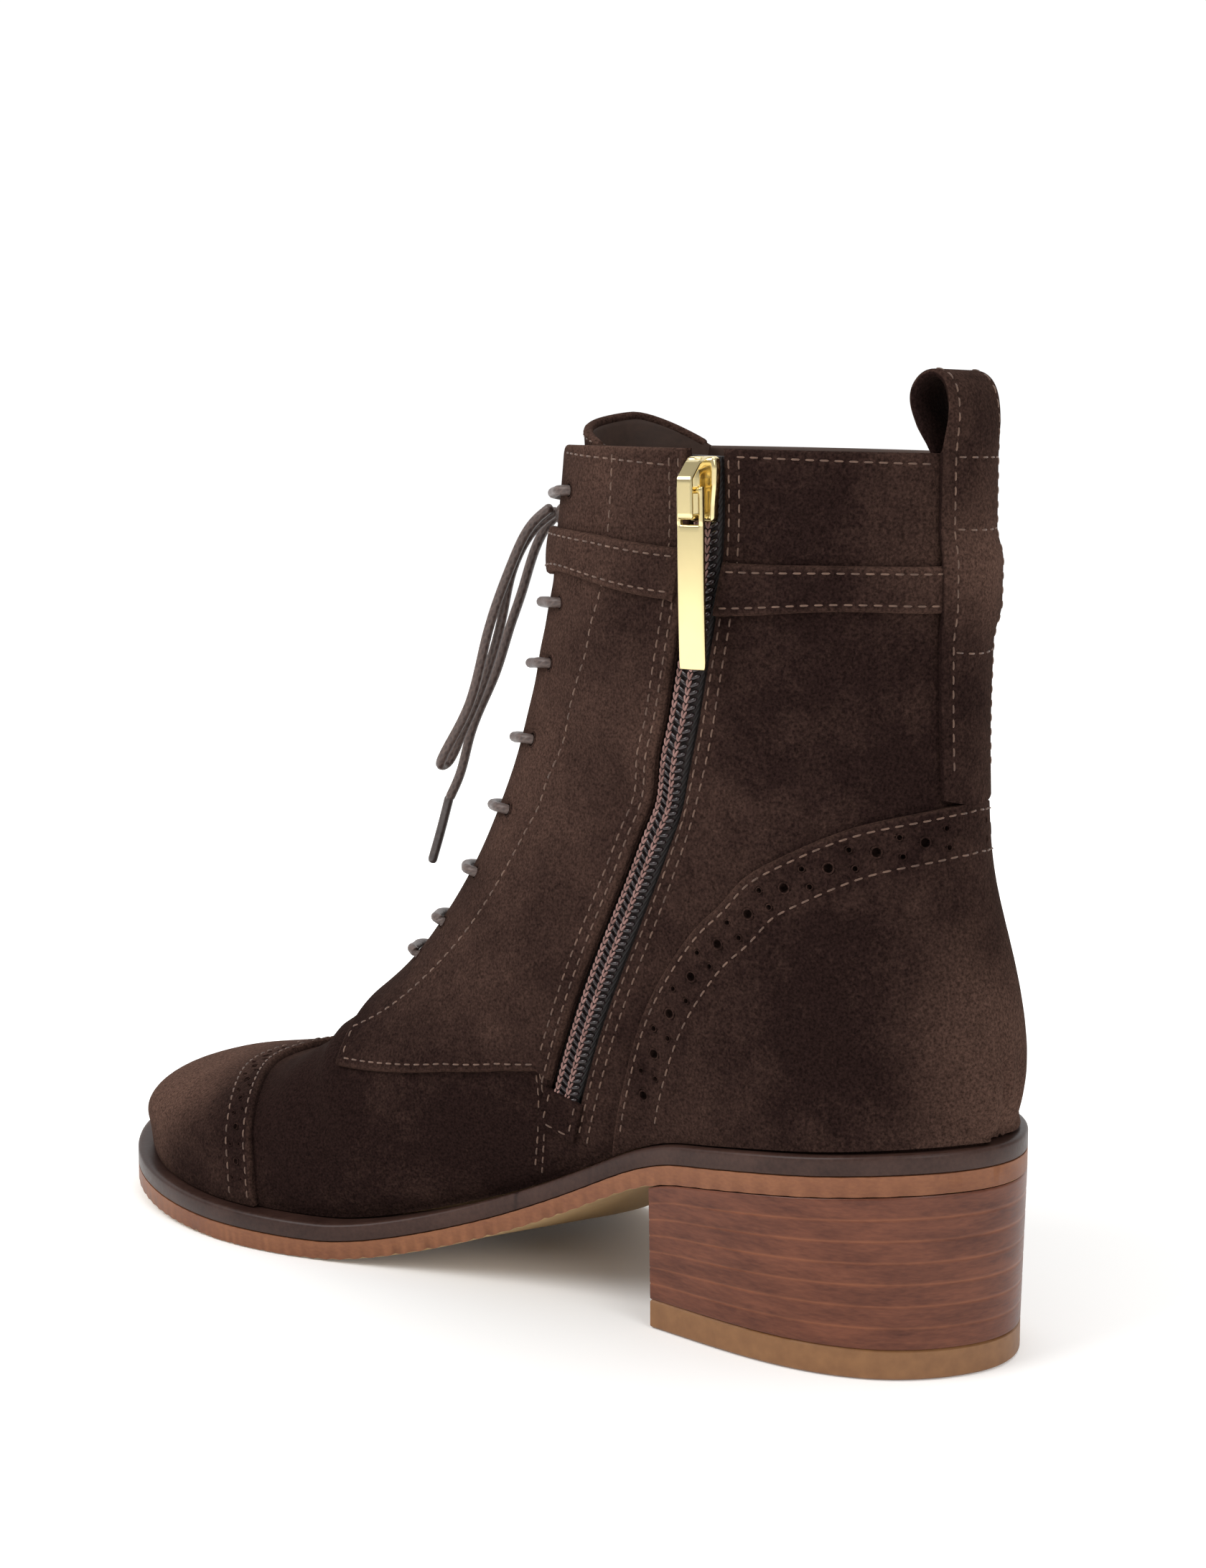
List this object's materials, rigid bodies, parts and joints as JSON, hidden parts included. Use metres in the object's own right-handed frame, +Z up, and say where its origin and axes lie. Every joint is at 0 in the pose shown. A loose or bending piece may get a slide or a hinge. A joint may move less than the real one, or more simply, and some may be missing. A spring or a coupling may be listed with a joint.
{
  "type": "ankle boot",
  "caption": "Right ankle boot of suede with a block heel: hollow last-shaped upper with laced front, tongue, strap, side zip with swinging pull tab, and back pull loop on a welted sole",
  "frame": {"origin": "Under the middle of the boot's box without the free laces, on the floor that heel and forefoot stand on", "axes": "+X towards the toe, +Y towards the inner side of the foot with the zip, +Z up"},
  "size_m": [0.266, 0.0957, 0.2152],
  "materials": {
    "suede": "napped, matt",
    "sole_leather": "smooth, stained edge",
    "welt_leather": "smooth, waxed",
    "insole_leather": "smooth",
    "heel_leather": "stacked layers, waxed",
    "lift_rubber": "matt",
    "zip_cloth": "woven tape",
    "zip_coil": "moulded coil",
    "gold_metal": "polished, pale gold",
    "lace_cord": "waxed round cord",
    "lace_tip": "hard sleeve"
  },
  "bodies": {
    "boot": {"outsole": "sole_leather", "welt": "welt_leather", "insole": "insole_leather", "heel_block": "heel_leather", "top_lift": "lift_rubber", "upper": "suede", "tongue": "suede", "quarter_medial": "suede", "quarter_lateral": "suede", "toe_cap": "suede", "heel_counter": "suede", "strap_medial_front": "suede", "strap_medial_rear": "suede", "strap_lateral_front": "suede", "strap_lateral_rear": "suede", "back_strip": "suede", "zip_tape": "zip_cloth", "zip_chain": "zip_coil", "zip_slider": "gold_metal", "lace_knot": "lace_cord", "lace_loop": "lace_cord", "lace_end": "lace_cord", "lace_tip": "lace_tip", "lace_bar_1": "lace_cord", "lace_bar_2": "lace_cord", "lace_bar_3": "lace_cord", "lace_bar_4": "lace_cord", "lace_bar_5": "lace_cord", "lace_bar_6": "lace_cord", "lace_bar_7": "lace_cord", "lace_bar_8": "lace_cord"},
    "zip_pull": {"zip_pull": "gold_metal"}
  },
  "joints": [
    {"name": "pull_hinge", "type": "hinge", "parent": "boot", "child": "zip_pull", "pos_m": [-0.07288, 0.03807, 0.19009], "axis": [0.9985, 0.0539, -0.0007], "range_deg": [0, 160]}
  ]
}
